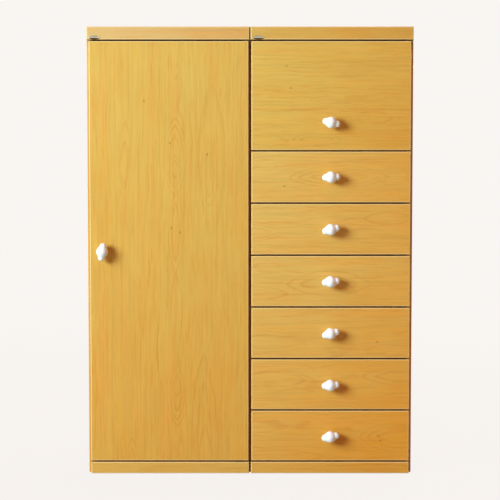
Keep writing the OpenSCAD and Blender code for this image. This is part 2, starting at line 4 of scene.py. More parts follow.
import bpy
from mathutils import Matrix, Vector


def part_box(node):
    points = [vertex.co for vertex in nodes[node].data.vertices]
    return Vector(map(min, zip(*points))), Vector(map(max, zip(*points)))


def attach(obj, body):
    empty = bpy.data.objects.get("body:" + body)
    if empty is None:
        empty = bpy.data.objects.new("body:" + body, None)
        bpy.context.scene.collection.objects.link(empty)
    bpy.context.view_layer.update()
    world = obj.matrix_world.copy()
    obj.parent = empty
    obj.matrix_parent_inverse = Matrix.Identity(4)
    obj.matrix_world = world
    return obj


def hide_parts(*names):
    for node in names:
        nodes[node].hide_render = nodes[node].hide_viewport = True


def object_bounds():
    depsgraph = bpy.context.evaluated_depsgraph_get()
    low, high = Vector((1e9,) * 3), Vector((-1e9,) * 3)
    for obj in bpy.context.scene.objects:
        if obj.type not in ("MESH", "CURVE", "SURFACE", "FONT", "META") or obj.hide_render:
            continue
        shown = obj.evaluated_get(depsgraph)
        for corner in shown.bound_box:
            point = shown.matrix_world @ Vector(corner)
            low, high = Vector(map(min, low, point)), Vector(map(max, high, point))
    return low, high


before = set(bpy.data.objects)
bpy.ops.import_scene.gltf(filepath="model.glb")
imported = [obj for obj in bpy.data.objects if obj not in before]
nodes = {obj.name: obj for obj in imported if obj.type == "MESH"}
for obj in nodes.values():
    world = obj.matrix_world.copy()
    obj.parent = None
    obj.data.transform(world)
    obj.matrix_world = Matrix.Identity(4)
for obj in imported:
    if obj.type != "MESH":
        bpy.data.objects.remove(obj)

cadLow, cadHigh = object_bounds()
drawerCount = sum(name.endswith("_box") for name in nodes)
drawers = [f"drawer_{count}" for count in range(1, drawerCount + 1)]
print("Frame loaded with", len(nodes), "nodes")


# Colours

def colourOf(red, green, blue):
    # a colour from 0 to 255, as it looks in a picture, in the linear values that a shader takes
    shares = [part / 255 for part in (red, green, blue)]
    linear = [s / 12.92 if s <= 0.04045 else ((s + 0.055) / 1.055) ** 2.4 for s in shares]
    return (*linear, 1.0)


# Shader building

class Wire:
    # An output socket. Sums and products written with it become Math nodes.
    def __init__(self, paint, socket):
        self.paint = paint
        self.socket = socket

    def __add__(self, other):
        return self.paint.maths("ADD", self, other)

    def __radd__(self, other):
        return self.paint.maths("ADD", other, self)

    def __sub__(self, other):
        return self.paint.maths("SUBTRACT", self, other)

    def __rsub__(self, other):
        return self.paint.maths("SUBTRACT", other, self)

    def __mul__(self, other):
        return self.paint.maths("MULTIPLY", self, other)

    def __rmul__(self, other):
        return self.paint.maths("MULTIPLY", other, self)

    def __pow__(self, other):
        return self.paint.maths("POWER", self, other)

    def __abs__(self):
        return self.paint.maths("ABSOLUTE", self)


class Paint:
    # A material, or the world, with its node tree
    def __init__(self, name, owner=None):
        self.owner = owner or bpy.data.materials.new(name)
        self.owner.use_nodes = True
        self.tree = self.owner.node_tree
        self.shader = self.tree.nodes.get("Principled BSDF")

    def node(self, kind, settings=None, sockets=None, output=0):
        made = self.tree.nodes.new("ShaderNode" + kind)
        for key, value in (settings or {}).items():
            if key == "stops":
                while len(made.color_ramp.elements) < len(value):
                    made.color_ramp.elements.new(1.0)
                for element, (position, colour) in zip(made.color_ramp.elements, value):
                    element.position = position
                    element.color = colour
            else:
                setattr(made, key, value)
        for key, value in (sockets or {}).items():
            self.feed(made.inputs[key], value)
        return Wire(self, made.outputs[output])

    def feed(self, socket, value):
        if isinstance(value, Wire):
            self.tree.links.new(value.socket, socket)
        else:
            socket.default_value = value

    def maths(self, operation, first, second=0.0):
        return self.node("Math", {"operation": operation}, {0: first, 1: second})

    def smooth(self, value, start, end, low=0.0, high=1.0):
        return self.node(
            "MapRange", {"interpolation_type": "SMOOTHSTEP"},
            {"Value": value, "From Min": start, "From Max": end, "To Min": low, "To Max": high},
        )

    def vector(self, x, y, z):
        return self.node("CombineXYZ", None, {0: x, 1: y, 2: z})

    def noise(self, place, detail=2.0, roughness=0.5, scale=1.0):
        return self.node("TexNoise", None, {
            "Vector": place, "Scale": scale, "Detail": detail, "Roughness": roughness,
        })

    def grained(self, along, across, seed, pattern):
        # noise drawn out along the grain. A pattern is how often it repeats in a metre along the
        # grain and across it, the shift of its seed, its detail and its roughness.
        alongScale, acrossScale, shift, detail, roughness = pattern
        place = self.vector(along * alongScale, across * acrossScale, seed + shift)
        return self.noise(place, detail=detail, roughness=roughness)

    def mix(self, share, first, second):
        return self.node("Mix", {"data_type": "RGBA"}, {0: share, 6: first, 7: second}, output=2)

    def brighten(self, colour, factor):
        return self.node("VectorMath", {"operation": "SCALE"}, {0: colour, "Scale": factor})

    def distance(self, place):
        return self.node("VectorMath", {"operation": "LENGTH"}, {0: place}, output=1)

    def bump(self, height, depth, strength):
        return self.node("Bump", None, {"Strength": strength, "Distance": depth, "Height": height})

    def place(self):
        return self.node("TexCoord", output="Object")

    def axes(self):
        split = self.tree.nodes.new("ShaderNodeSeparateXYZ")
        self.feed(split.inputs[0], self.place())
        return {letter: Wire(self, split.outputs[at]) for at, letter in enumerate("xyz")}

    def facing(self, letter):
        # how far the surface faces along an axis, from -1 to 1
        normal = self.node("TexCoord", output="Normal")
        return self.node("SeparateXYZ", None, {0: normal}, output="xyz".index(letter))

    def finish(self, **sockets):
        for key, value in sockets.items():
            self.feed(self.shader.inputs[key.replace("_", " ")], value)
        return self.owner


# Veneer

veneerPatterns = {  # in the order that grained takes them
    "ripple": (7.0, 13.0, 6.3, 3.0, 0.5),
    "shiver": (30.0, 60.0, 3.1, 2.0, 0.6),
    "patch": (9.0, 34.0, 7.7, 2.0, 0.5),
    "streak": (5.0, 200.0, 1.3, 3.0, 0.7),
    "dash": (13.0, 230.0, 4.6, 1.0, 0.5),
    "fibre": (16.0, 1300.0, 5.9, 2.0, 0.7),
    "mottle": (5.0, 12.0, 9.4, 3.0, 0.6),
    "pore": (110.0, 2200.0, 2.2, 1.0, 0.5),
    "blush": (2.0, 32.0, 8.2, 2.0, 0.5),
}
ringLook = {
    "spacing": 0.013,
    "width": 0.060,  # how far from the board's centre the rings get evenly spaced
    "waveScale": (1.3, 2.6),
    "bend": {"wave": 0.06, "ripple": 0.014, "shiver": 0.004},  # in metres across the grain
    "drift": {"wave": 3.0, "ripple": 1.2},  # in rings
    "crest": (0.90, 0.92),  # where in its ring a line gets full, and where it starts to fade
    "broad": {"start": 0.66, "share": 0.6},
    "fine": {"start": 0.30, "share": 0.4, "times": 3.0},
    "clearRange": (0.36, 0.62, 0.12, 1.0),  # the rings fade out in patches
}
eyeLook = {
    "sway": {"wave": 0.05, "ripple": 0.012},  # in metres along the grain
    "point": 1.3,  # 2 would give it round ends
    "fadeRange": (1.30, 1.02),
    "drift": 0.3,  # in rings
    "start": 0.50,
    "cover": 0.7,  # how much of the straight rings it hides
    "faintest": 0.35,  # what is left of its lines where the rings fade out
}
veneerLook = {  # a range is what smooth takes after its value
    "pale": colourOf(206, 175, 96),
    "deep": colourOf(207, 144, 50),
    "line": colourOf(184, 110, 36),
    "blush": colourOf(216, 150, 68),
    "fleck": colourOf(140, 92, 36),
    # a painted highlight along the rim of a front
    "rimHighlight": colourOf(236, 212, 152),
    # painted shade: a thin dark line at a front's rim, which darkens the gaps between fronts
    "gapShade": colourOf(92, 54, 28),
    # painted shade on the edge faces of fronts, which darkens the gaps between them
    "edge": colourOf(188, 128, 60),
    "slant": 0.3,
    "dashRange": (0.54, 0.74),
    "dashPatchRange": (0.62, 0.38, 0.3, 1.0),
    "poreRange": (0.66, 0.76),
    "blushRange": (0.50, 0.72, 0.0, 0.30),
    "deepens": {"mottle": 0.6, "streak": 0.4, "dash": 0.25},
    "darkens": {"line": 0.28, "dash": 0.16, "streak": 0.45, "pore": 0.14},
    "brightens": {"all": 1.02, "fibre": 0.12, "streak": 0.32},
    "fleckSize": (0.007, 0.004),  # half its length and half its width
    "fleckRange": (1.0, 0.1, 0.0, 0.6),
    "rimHighlightRange": (0.0044, 0.0014, 0.0, 0.62),  # metres in from the rim of a front
    "gapShadeRange": (0.0008, 0.0003, 0.0, 0.85),
    "edgeShadeRange": (0.5, 0.1),
    "raises": {"fibre": 0.5, "streak": 0.3, "pore": 0.9, "line": 0.3},
    "roughens": {"all": 0.40, "fibre": 0.10, "pore": 0.15, "line": 0.03},
    "gloss": 0.2,
    "depth": 0.00012,
    "relief": 0.6,
}


def veneer(name, grain, centre, seed, figures=(), flecks=(), edges=None, tone=(0.4, 0.0, 0.0),
           lift=1.0, calm=1.0, face=0.0, pale=veneerLook["pale"]):
    # grain names the axes along the grain, across it and into the board. Each figure is a long eye
    # with pointed ends: its place along and across, its half length, its half width, the rings in
    # it and, where that isn't 1, the strength of its lines. edges are the lowest and the highest
    # corner of a front. Its rim gets a painted highlight and a thin painted shade line, and its
    # edge faces get painted shade, which darkens the gaps between fronts. tone is how deep the
    # colour is at the origin, and how that grows along x and along z: partly the wood's own tone,
    # partly painted light, paler towards the top and the left. lift brightens the board, calm
    # weakens its lines, and face is where the board's face is.
    look, ring, eye = veneerLook, ringLook, eyeLook
    paint = Paint(name)
    axis = paint.axes()
    along, across, deep = (axis[letter] for letter in grain)
    across = across + look["slant"] * (deep - face)

    def pattern(kind, beside):
        return paint.grained(along, beside, seed, veneerPatterns[kind])

    def ringLine(level, start):
        # a thin line at the end of each ring
        part = paint.maths("FRACT", level)
        full, fading = ring["crest"]
        return paint.smooth(part, start, full) * paint.smooth(part, 1.0, fading)

    alongScale, acrossScale = ring["waveScale"]
    wave = paint.noise(paint.vector(along * alongScale + seed, across * acrossScale, seed)) - 0.5
    ripple = pattern("ripple", across) - 0.5
    shiver = pattern("shiver", across) - 0.5
    patch = pattern("patch", across)
    bend, drift = ring["bend"], ring["drift"]
    bent = across + bend["ripple"] * ripple + bend["shiver"] * shiver
    off = bent - centre + bend["wave"] * wave
    reach = paint.maths("SQRT", off * off * (1 / ring["width"] ** 2) + 1.0)
    rings = reach * (ring["width"] / ring["spacing"])
    rings = rings + drift["wave"] * wave + drift["ripple"] * ripple
    broad, fine = ring["broad"], ring["fine"]
    straight = ringLine(rings, broad["start"]) * broad["share"]
    straight = straight + ringLine(rings * fine["times"], fine["start"]) * fine["share"]

    eyes = inside = 0.0
    lean = along + eye["sway"]["wave"] * wave + eye["sway"]["ripple"] * ripple
    for at, beside, halfLength, halfWidth, count, *strength in figures:
        endwise, sidewise = (lean - at) * (1 / halfLength), (bent - beside) * (1 / halfWidth)
        level = endwise ** 2 + abs(sidewise) ** eye["point"]
        shown = paint.smooth(level, *eye["fadeRange"])
        drawn = ringLine(level * count + eye["drift"] * ripple, eye["start"]) * shown
        drawn = drawn * (strength[0] if strength else 1.0)
        eyes = paint.maths("MAXIMUM", drawn, eyes)
        inside = paint.maths("MAXIMUM", shown, inside)
    clear = paint.smooth(patch, *ring["clearRange"])
    straight = straight * (1.0 - eye["cover"] * inside) * clear
    line = (straight + eyes * (eye["faintest"] + (1.0 - eye["faintest"]) * clear)) * calm

    streak = pattern("streak", bent)
    fibre = pattern("fibre", bent)
    mottle = pattern("mottle", bent)
    dash = paint.smooth(pattern("dash", bent), *look["dashRange"])
    dash = dash * paint.smooth(patch, *look["dashPatchRange"])
    pore = paint.smooth(pattern("pore", bent), *look["poreRange"])
    blush = paint.smooth(pattern("blush", bent), *look["blushRange"])

    by = look["deepens"]
    share = (mottle - 0.5) * by["mottle"] + (streak - 0.5) * by["streak"] + dash * by["dash"]
    # partly painted light: the slopes along x and z make the colour paler towards the upper left,
    # as if lit from there
    share = share + tone[0] + tone[1] * axis["x"] + tone[2] * axis["z"]
    colour = paint.mix(share, pale, look["deep"])
    colour = paint.mix(blush, colour, look["blush"])
    by = look["darkens"]
    dark = paint.maths("MAXIMUM", line * by["line"], dash * by["dash"])
    colour = paint.mix(dark + (0.5 - streak) * by["streak"], colour, look["line"])
    colour = paint.mix(pore * by["pore"], colour, look["fleck"])
    fleckLength, fleckWidth = look["fleckSize"]
    for at, beside in flecks:
        endwise, sidewise = (along - at) * (1 / fleckLength), (bent - beside) * (1 / fleckWidth)
        spot = paint.distance(paint.vector(endwise, sidewise, 0.0))
        colour = paint.mix(paint.smooth(spot, *look["fleckRange"]), colour, look["fleck"])
    by = look["brightens"]
    bright = (fibre - 0.5) * by["fibre"] + (streak - 0.5) * by["streak"] + by["all"]
    colour = paint.brighten(colour, bright * lift)

    if edges:
        low, high = edges
        inward = [
            (high[at] - low[at]) / 2 - abs(axis[letter] - (low[at] + high[at]) / 2)
            for at, letter in ((0, "x"), (2, "z"))
        ]
        rim = paint.maths("MINIMUM", *inward)
        # painted highlight: a pale band along the rim of the front
        colour = paint.mix(paint.smooth(rim, *look["rimHighlightRange"]), colour, look["rimHighlight"])
        # painted shade: a thin dark line at the very rim, which darkens the gaps between fronts
        colour = paint.mix(paint.smooth(rim, *look["gapShadeRange"]), colour, look["gapShade"])
        # painted shade: faces that turn away from the front get a darker colour, which darkens the
        # gaps
        sideways = paint.smooth(abs(paint.facing("y")), *look["edgeShadeRange"])
        colour = paint.mix(sideways, colour, look["edge"])

    up, rough = look["raises"], look["roughens"]
    height = fibre * up["fibre"] + streak * up["streak"] - pore * up["pore"] - line * up["line"]
    return paint.finish(
        Base_Color=colour,
        Roughness=(rough["all"] + (fibre - 0.5) * rough["fibre"] + pore * rough["pore"]
                   - line * rough["line"]),
        Normal=paint.bump(height, look["depth"], look["relief"]),
        Specular_IOR_Level=look["gloss"],
    )


def dress(names, material):
    for name in names:
        holder = nodes[name]
        holder.data.materials.clear()
        holder.data.materials.append(material)


def veneerFront(name, **choices):
    low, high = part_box(name)
    dress([name], veneer(name + "Veneer", edges=(low, high), face=low.y, **choices))


doorLook = {
    "grain": "zxy",
    "seed": 2.0,
    "centre": -0.228,
    "tone": (0.63, 0.0, -0.36),
    "pale": colourOf(206, 175, 88),
    "lift": 1.01,
    "figures": [
        (1.334, -0.225, 0.120, 0.0215, 2),
        (0.964, -0.383, 0.072, 0.0140, 1), (0.985, -0.384, 0.112, 0.0220, 1, 0.6),
        (0.978, -0.231, 0.124, 0.0370, 3, 1.1), (0.938, -0.231, 0.046, 0.0170, 2, 1.2),
        (0.744, -0.228, 0.134, 0.0230, 2), (0.481, -0.227, 0.150, 0.0200, 1),
        (0.250, -0.225, 0.105, 0.0340, 3, 1.3), (0.268, -0.227, 0.031, 0.0150, 1, 1.4),
        (0.974, -0.117, 0.243, 0.0460, 1, 0.5), (0.927, -0.126, 0.102, 0.0276, 2, 0.8),
        (0.902, -0.087, 0.030, 0.0140, 2),
        (0.102, -0.141, 0.277, 0.0430, 2), (0.055, -0.138, 0.108, 0.0210, 1),
        (0.009, -0.365, 0.099, 0.0250, 2),
    ],
    "flecks": [(1.022, -0.246), (0.762, -0.240), (1.150, -0.325), (0.987, -0.132), (0.748, -0.216)],
}
veneerFront("door_panel", **doorLook)

# the slopes along x and z are partly painted light, paler towards the top and the left
frontBase = {"tone": (0.62, 0.9, -0.47), "lift": 1.08}  # for the fronts that don't say otherwise
frontLooks = {
    "flap_panel": {
        "centre": 1.145, "lift": 1.03, "pale": colourOf(206, 174, 86),
        "figures": [
            (0.242, 1.149, 0.060, 0.016, 2), (0.050, 1.028, 0.070, 0.018, 1),
            (0.205, 1.034, 0.080, 0.022, 2), (0.380, 1.100, 0.060, 0.022, 1),
        ],
        "flecks": [(0.112, 1.256), (0.125, 1.190)],
    },
    "drawer_1_front": {
        "centre": 0.925,
        "figures": [(0.267, 0.918, 0.153, 0.034, 3), (0.440, 0.921, 0.070, 0.028, 3)],
        "flecks": [(0.105, 0.891)],
    },
    "drawer_2_front": {
        "centre": 0.755, "tone": (0.52, 0.9, -0.47),
        "figures": [(-0.015, 0.752, 0.138, 0.030, 3), (0.420, 0.790, 0.080, 0.020, 1)],
    },
    "drawer_3_front": {
        "centre": 0.640, "tone": (0.46, 0.9, -0.47),
        "figures": [
            (0.245, 0.590, 0.130, 0.040, 2), (0.343, 0.598, 0.050, 0.014, 1),
            (0.020, 0.560, 0.110, 0.022, 1),
        ],
    },
    "drawer_4_front": {
        "centre": 0.380, "tone": (0.48, 0.9, -0.47),
        "figures": [(0.060, 0.410, 0.120, 0.022, 1), (0.440, 0.385, 0.090, 0.018, 1)],
        "flecks": [(0.392, 0.410)],
    },
    "drawer_5_front": {
        "centre": 0.285, "tone": (0.54, 0.9, -0.47),
        "figures": [(0.060, 0.291, 0.120, 0.026, 1), (0.480, 0.303, 0.136, 0.031, 2)],
    },
    "drawer_6_front": {
        "centre": 0.150,
        "figures": [(0.475, 0.114, 0.135, 0.050, 3), (0.080, 0.052, 0.160, 0.024, 1)],
        "flecks": [(0.404, 0.102), (0.396, 0.116)],
    },
    "wardrobe_fascia": {
        "centre": 1.300, "calm": 0.6, "lift": 0.98, "tone": (0.40, 0.8, 0.0),
        "pale": colourOf(206, 177, 118),
    },
    "chest_fascia": {"centre": 1.420, "calm": 0.6, "lift": 0.97, "tone": (0.27, 0.7, 0.0)},
    "wardrobe_plinth": {"centre": -0.020, "calm": 0.6, "lift": 1.0, "tone": (0.45, 0.0, 0.0)},
    "chest_plinth": {"centre": 0.080, "calm": 0.6, "lift": 1.04, "tone": (0.60, 0.6, 0.0)},
}
frontSeed, frontSeedStep = 11.0, 4.3
for count, (front, frontLook) in enumerate(frontLooks.items()):
    seed = frontSeed + frontSeedStep * count
    veneerFront(front, seed=seed, grain="xzy", **(frontBase | frontLook))

boardLooks = [
    {
        "boards": [
            "wardrobe_left_side", "wardrobe_right_side", "chest_left_side", "chest_right_side",
        ],
        "seed": 71.0, "seedStep": 3.7,
        "veneer": {"grain": "zyx", "centre": 0.05, "tone": (0.62, 0.0, -0.36)},
    },
    {
        "boards": [
            "wardrobe_top", "wardrobe_bottom", "hat_shelf", "chest_top", "chest_bottom",
            "chest_divider",
        ],
        "seed": 91.0, "seedStep": 2.9,
        "veneer": {"grain": "xyz", "centre": 0.02, "tone": (0.4, 0.3, 0.0), "calm": 0.8},
    },
]
for look in boardLooks:
    for count, board in enumerate(look["boards"]):
        seed = look["seed"] + look["seedStep"] * count
        dress([board], veneer(board + "Veneer", seed=seed, **look["veneer"]))
print("Veneered boards dressed")


# Inner woods

innerWoodLook = {
    "pale": colourOf(232, 208, 160),
    "deep": colourOf(212, 178, 122),
    "ray": colourOf(186, 146, 92),
    "slant": 0.6,
    "streakPattern": (3.0, 90.0, 0.0, 3.0, 0.5),
    "fibrePattern": (20.0, 1200.0, 1.0, 2.0, 0.5),
    "rayPattern": (160.0, 900.0, 2.0, 2.0, 0.5),
    "streakRange": (0.3, 0.7),
    "rayRange": (0.66, 0.74),
    "rayShare": 0.35,
    "brightens": 0.08,
    "roughness": 0.52,
    "roughens": 0.12,
    "rayDepth": 0.4,
    "depth": 0.00012,
    "relief": 0.5,
}


def innerWood(name, grain, seed):
    look = innerWoodLook
    paint = Paint(name)
    axis = paint.axes()
    along, across, deep = (axis[letter] for letter in grain)
    across = across + look["slant"] * deep
    streak = paint.grained(along, across, seed, look["streakPattern"])
    fibre = paint.grained(along, across, seed, look["fibrePattern"])
    ray = paint.smooth(paint.grained(along, across, seed, look["rayPattern"]), *look["rayRange"])
    colour = paint.mix(paint.smooth(streak, *look["streakRange"]), look["pale"], look["deep"])
    colour = paint.mix(ray * look["rayShare"], colour, look["ray"])
    return paint.finish(
        Base_Color=paint.brighten(colour, (fibre - 0.5) * look["brightens"] + 1.0),
        Roughness=look["roughness"] + (fibre - 0.5) * look["roughens"],
        Normal=paint.bump(fibre - ray * look["rayDepth"], look["depth"], look["relief"]),
    )


dress([drawer + "_box" for drawer in drawers], innerWood("boxWood", "yzx", 4.0))
dress(["drawer_runners"], innerWood("runnerWood", "yzx", 8.0))

hardboardLook = {
    "pale": colourOf(176, 134, 88),
    "deep": colourOf(140, 98, 58),
    "fibre": colourOf(98, 66, 38),
    "cloud": {"scale": 9.0, "detail": 4.0, "roughness": 0.6},
    "chips": {"scale": 420.0, "detail": 3.0, "roughness": 0.7},
    "flakes": {"scale": 900.0, "detail": 2.0},
    "cloudShare": 0.3,
    "colourRange": (0.30, 0.70),
    "flakeRange": (0.62, 0.72),
    "flakeShare": 0.5,
    "wirePitch": 0.0016,
    "wireRange": (0.2, 0.6),
    "wireShade": 0.22,
    "roughness": 0.50,
    "wireRoughens": 0.2,
    "chipsRoughen": 0.1,
    "chipsRaise": 0.3,
    "depth": 0.0003,
    "relief": 0.6,
}


def hardboard(name, letter, side):
    # the board's wire-marked face looks along the axis with this letter, forwards or back by side
    look = hardboardLook
    paint = Paint(name)
    place = paint.place()
    cloud = paint.noise(place, **look["cloud"])
    chips = paint.noise(place, **look["chips"])
    flake = paint.smooth(paint.noise(place, **look["flakes"]), *look["flakeRange"])
    blend = cloud * look["cloudShare"] + chips * (1.0 - look["cloudShare"])
    colour = paint.mix(paint.smooth(blend, *look["colourRange"]), look["pale"], look["deep"])
    colour = paint.mix(flake * look["flakeShare"], colour, look["fibre"])
    axis = paint.axes()
    first, second = [
        abs(paint.maths("SINE", axis[other] * (math.pi / look["wirePitch"])))
        for other in "xyz" if other != letter
    ]
    weave = first * second * paint.smooth(paint.facing(letter) * side, *look["wireRange"])
    return paint.finish(
        Base_Color=paint.brighten(colour, 1.0 - look["wireShade"] * weave),
        Roughness=(look["roughness"] + weave * look["wireRoughens"]
                   + (chips - 0.5) * look["chipsRoughen"]),
        Normal=paint.bump(chips * look["chipsRaise"] - weave, look["depth"], look["relief"]),
    )


dress(["wardrobe_back", "chest_back"], hardboard("backHardboard", "y", 1.0))
dress([drawer + "_bottom" for drawer in drawers], hardboard("bottomHardboard", "z", -1.0))
print("Inner boards dressed")


# Metals

metalLook = {
    "cloud": {"scale": 60.0, "detail": 4.0, "roughness": 0.6},
    "brushScale": (40.0, 900.0, 900.0),
    "cellScale": 260.0,
    "wornRange": (0.35, 0.7),
    "brightness": 0.96,
    "brushBrightens": 0.08,
    "cloudRoughens": 0.16,
    "depth": 0.00005,
    "relief": 0.4,
}


def metal(name, colour, worn, roughness, scratch, spangle=0.0):
    look = metalLook
    paint = Paint(name)
    place = paint.place()
    cloud = paint.noise(place, **look["cloud"])
    brushed = paint.noise(
        paint.node("Mapping", None, {"Vector": place, "Scale": look["brushScale"]}))
    tint = paint.mix(paint.smooth(cloud, *look["wornRange"]), colour, worn)
    if spangle:
        cells = paint.node(
            "TexVoronoi", None, {"Vector": place, "Scale": look["cellScale"]}, output="Distance")
        tint = paint.brighten(tint, 1.0 - spangle * cells)
    return paint.finish(
        Base_Color=paint.brighten(tint, look["brightness"] + brushed * look["brushBrightens"]),
        Metallic=1.0,
        Roughness=(roughness + (cloud - 0.5) * look["cloudRoughens"]
                   + (brushed - 0.5) * scratch),
        Normal=paint.bump(brushed * 0.5 + cloud * 0.5, look["depth"], look["relief"]),
    )


chrome = metal(
    "railChrome", colourOf(226, 227, 228), colourOf(208, 209, 210), roughness=0.13, scratch=0.06)
zinc = metal(
    "zincPlate", colourOf(196, 197, 192), colourOf(168, 167, 158), roughness=0.36, scratch=0.14,
    spangle=0.25)
bronze = metal(
    "bronzedSteel", colourOf(96, 76, 54), colourOf(66, 50, 36), roughness=0.42, scratch=0.12)

dress(["hanging_rail", "rail_sockets"], chrome)
dress(["module_connectors", "door_fittings", "flap_knob_screw"], zinc)
dress(["flap_stay_bracket", "flap_stay_arm"], zinc)
dress([drawer + "_knob_screw" for drawer in drawers], zinc)
dress(["cabinet_fittings"], bronze)
print("Metal dressed")


# Knobs

glazeLook = {
    "white": colourOf(240, 246, 250),
    "shade": colourOf(226, 234, 240),
    "cloud": {"scale": 70.0, "detail": 3.0},
    "ripple": {"scale": 160.0, "detail": 2.0},
    "shadeRange": (0.4, 0.75),
    "roughness": 0.16,
    "roughens": 0.06,
    "depth": 0.0002,
    "relief": 0.25,
    "coat": 0.5,
    "coatRoughness": 0.06,
}


def glaze():
    look = glazeLook
    paint = Paint("knobGlaze")
    place = paint.place()
    cloud = paint.noise(place, **look["cloud"])
    ripple = paint.noise(place, **look["ripple"])
    shade = paint.smooth(cloud, *look["shadeRange"])
    return paint.finish(
        Base_Color=paint.mix(shade, look["white"], look["shade"]),
        Roughness=look["roughness"] + (cloud - 0.5) * look["roughens"],
        Normal=paint.bump(ripple, look["depth"], look["relief"]),
        Coat_Weight=look["coat"],
        Coat_Roughness=look["coatRoughness"],
    )


knobLook = {
    "length": 0.056,
    "middle": 0.0185,  # the radius in its middle
    "crown": 0.015,  # the radii of its arcs: over the middle, in the waists and at the ends
    "waist": 0.005,
    "lobe": 0.011,
    "slopes": (math.radians(28), math.radians(36)),  # the blunter end's, and the other's
    "tip": 0.0004,
    "rise": 0.021,  # from the panel to its axis
    "foot": [  # how far in front of the panel, and the radius there
        (0.0, 0.0128), (0.0008, 0.0138), (0.0018, 0.0138), (0.0030, 0.0122), (0.0055, 0.0106),
        (0.0120, 0.0112),
    ],
    "rings": 40,
    "sides": 56,
    "voxel": 0.0007,
    "softening": {"factor": 0.5, "iterations": 6},
}
knobTurns = {"door_knob": 99, "flap_knob": 13}  # degrees, as each one hangs on its screw
for drawer, turn in zip(drawers, (-3, -16, -8, -17, -6, -12)):
    knobTurns[drawer + "_knob"] = turn


def knobRadius(x):
    # from the middle outwards: a crown, a straight cone, a hollow waist and a round lobe
    look = knobLook
    slope, waist, lobe = look["slopes"][x > 0], look["waist"], look["lobe"]
    lobeAt = look["length"] / 2 - lobe
    crownAt = look["middle"] - look["crown"]
    out = crownAt * math.cos(slope) + look["crown"] + waist
    reach = math.sqrt((lobe + waist) ** 2 - (out - lobeAt * math.sin(slope)) ** 2)
    down = lobeAt * math.cos(slope) - reach
    waistX = out * math.sin(slope) + down * math.cos(slope)
    waistZ = out * math.cos(slope) - down * math.sin(slope)
    x = abs(x)
    if x < look["crown"] * math.sin(slope):
        return crownAt + math.sqrt(look["crown"] ** 2 - x ** 2)
    if x < waistX - waist * math.sin(slope):
        return (out - waist - x * math.sin(slope)) / math.cos(slope)
    if x < lobeAt + lobe * (waistX - lobeAt) / (lobe + waist):
        return waistZ - math.sqrt(waist ** 2 - (x - waistX) ** 2)
    return math.sqrt(max(lobe ** 2 - (x - lobeAt) ** 2, 0.0))


def deselectAll():
    if bpy.context.object and bpy.context.object.mode != "OBJECT":
        bpy.ops.object.mode_set(mode="OBJECT")
    bpy.ops.object.select_all(action="DESELECT")


def selectOnly(piece):
    deselectAll()
    piece.select_set(True)
    bpy.context.view_layer.objects.active = piece


def settle():
    # the selected piece keeps its place, and its object goes to the origin, unturned and unscaled
    bpy.ops.object.transform_apply(location=True, rotation=True, scale=True)


def turned(name, axis, rings, sides):
    # a turned solid along x or y, drawn out ring by ring from (place, radius) pairs
    deselectAll()
    quarter = math.radians(90)
    step = Vector([letter == axis for letter in "xyz"])
    place, radius = rings[0]
    bpy.ops.mesh.primitive_circle_add(
        vertices=sides, radius=radius, fill_type="NGON", location=step * place,
        rotation={"x": (0.0, quarter, 0.0), "y": (quarter, 0.0, 0.0)}[axis])
    made = bpy.context.object
    made.name = name
    settle()
    bpy.ops.object.mode_set(mode="EDIT")
    bpy.ops.mesh.select_all(action="SELECT")
    for nextPlace, nextRadius in rings[1:]:
        bpy.ops.mesh.extrude_region_move(
            TRANSFORM_OT_translate={"value": step * (nextPlace - place)})
        bpy.ops.transform.resize(
            value=[nextRadius / radius] * 3, center_override=step * nextPlace)
        place, radius = nextPlace, nextRadius
    bpy.ops.mesh.select_all(action="SELECT")
    bpy.ops.mesh.normals_make_consistent(inside=False)
    bpy.ops.object.mode_set(mode="OBJECT")
    return made


def useModifier(piece, kind, **settings):
    bpy.context.view_layer.objects.active = piece
    modifier = piece.modifiers.new(kind.lower(), kind)
    for key, value in settings.items():
        setattr(modifier, key, value)
    bpy.ops.object.modifier_apply(modifier=modifier.name)


def joined(first, *others):
    selectOnly(first)
    for piece in others:
        piece.select_set(True)
    bpy.ops.object.join()
    return first


def knobModel():
    look = knobLook
    half = look["length"] / 2
    body = []
    for count in range(look["rings"] + 1):
        x = -half * math.cos(math.pi * count / look["rings"])
        body.append((x, max(knobRadius(x), look["tip"])))
    knob = turned("knobModel", "x", body, look["sides"])
    foot = [(look["rise"] - rise, radius) for rise, radius in look["foot"]]
    joined(knob, turned("knobFoot", "y", foot, look["sides"]))
    useModifier(knob, "REMESH", mode="VOXEL", voxel_size=look["voxel"], use_smooth_shade=True)
    useModifier(knob, "SMOOTH", **look["softening"])
    return knob


def copyOf(model, name, place, turn=(0, 0, 0)):
    piece = model.copy()
    piece.data = model.data.copy()
    piece.name = name
    bpy.context.collection.objects.link(piece)
    piece.location = place
    piece.rotation_euler = [math.radians(part) for part in turn]
    selectOnly(piece)
    settle()
    return piece


firstKnob = knobModel()
firstKnob.data.materials.append(glaze())
for knobNode, turn in knobTurns.items():
    low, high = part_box(knobNode)
    place = ((low.x + high.x) / 2, high.y - knobLook["rise"], (low.z + high.z) / 2)
    knob = copyOf(firstKnob, knobNode + "Glazed", place, (0, turn, 0))
    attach(knob, knobNode.replace("_knob", ""))
    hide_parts(knobNode)
bpy.data.objects.remove(firstKnob)
print("Knobs glazed")


# Badges

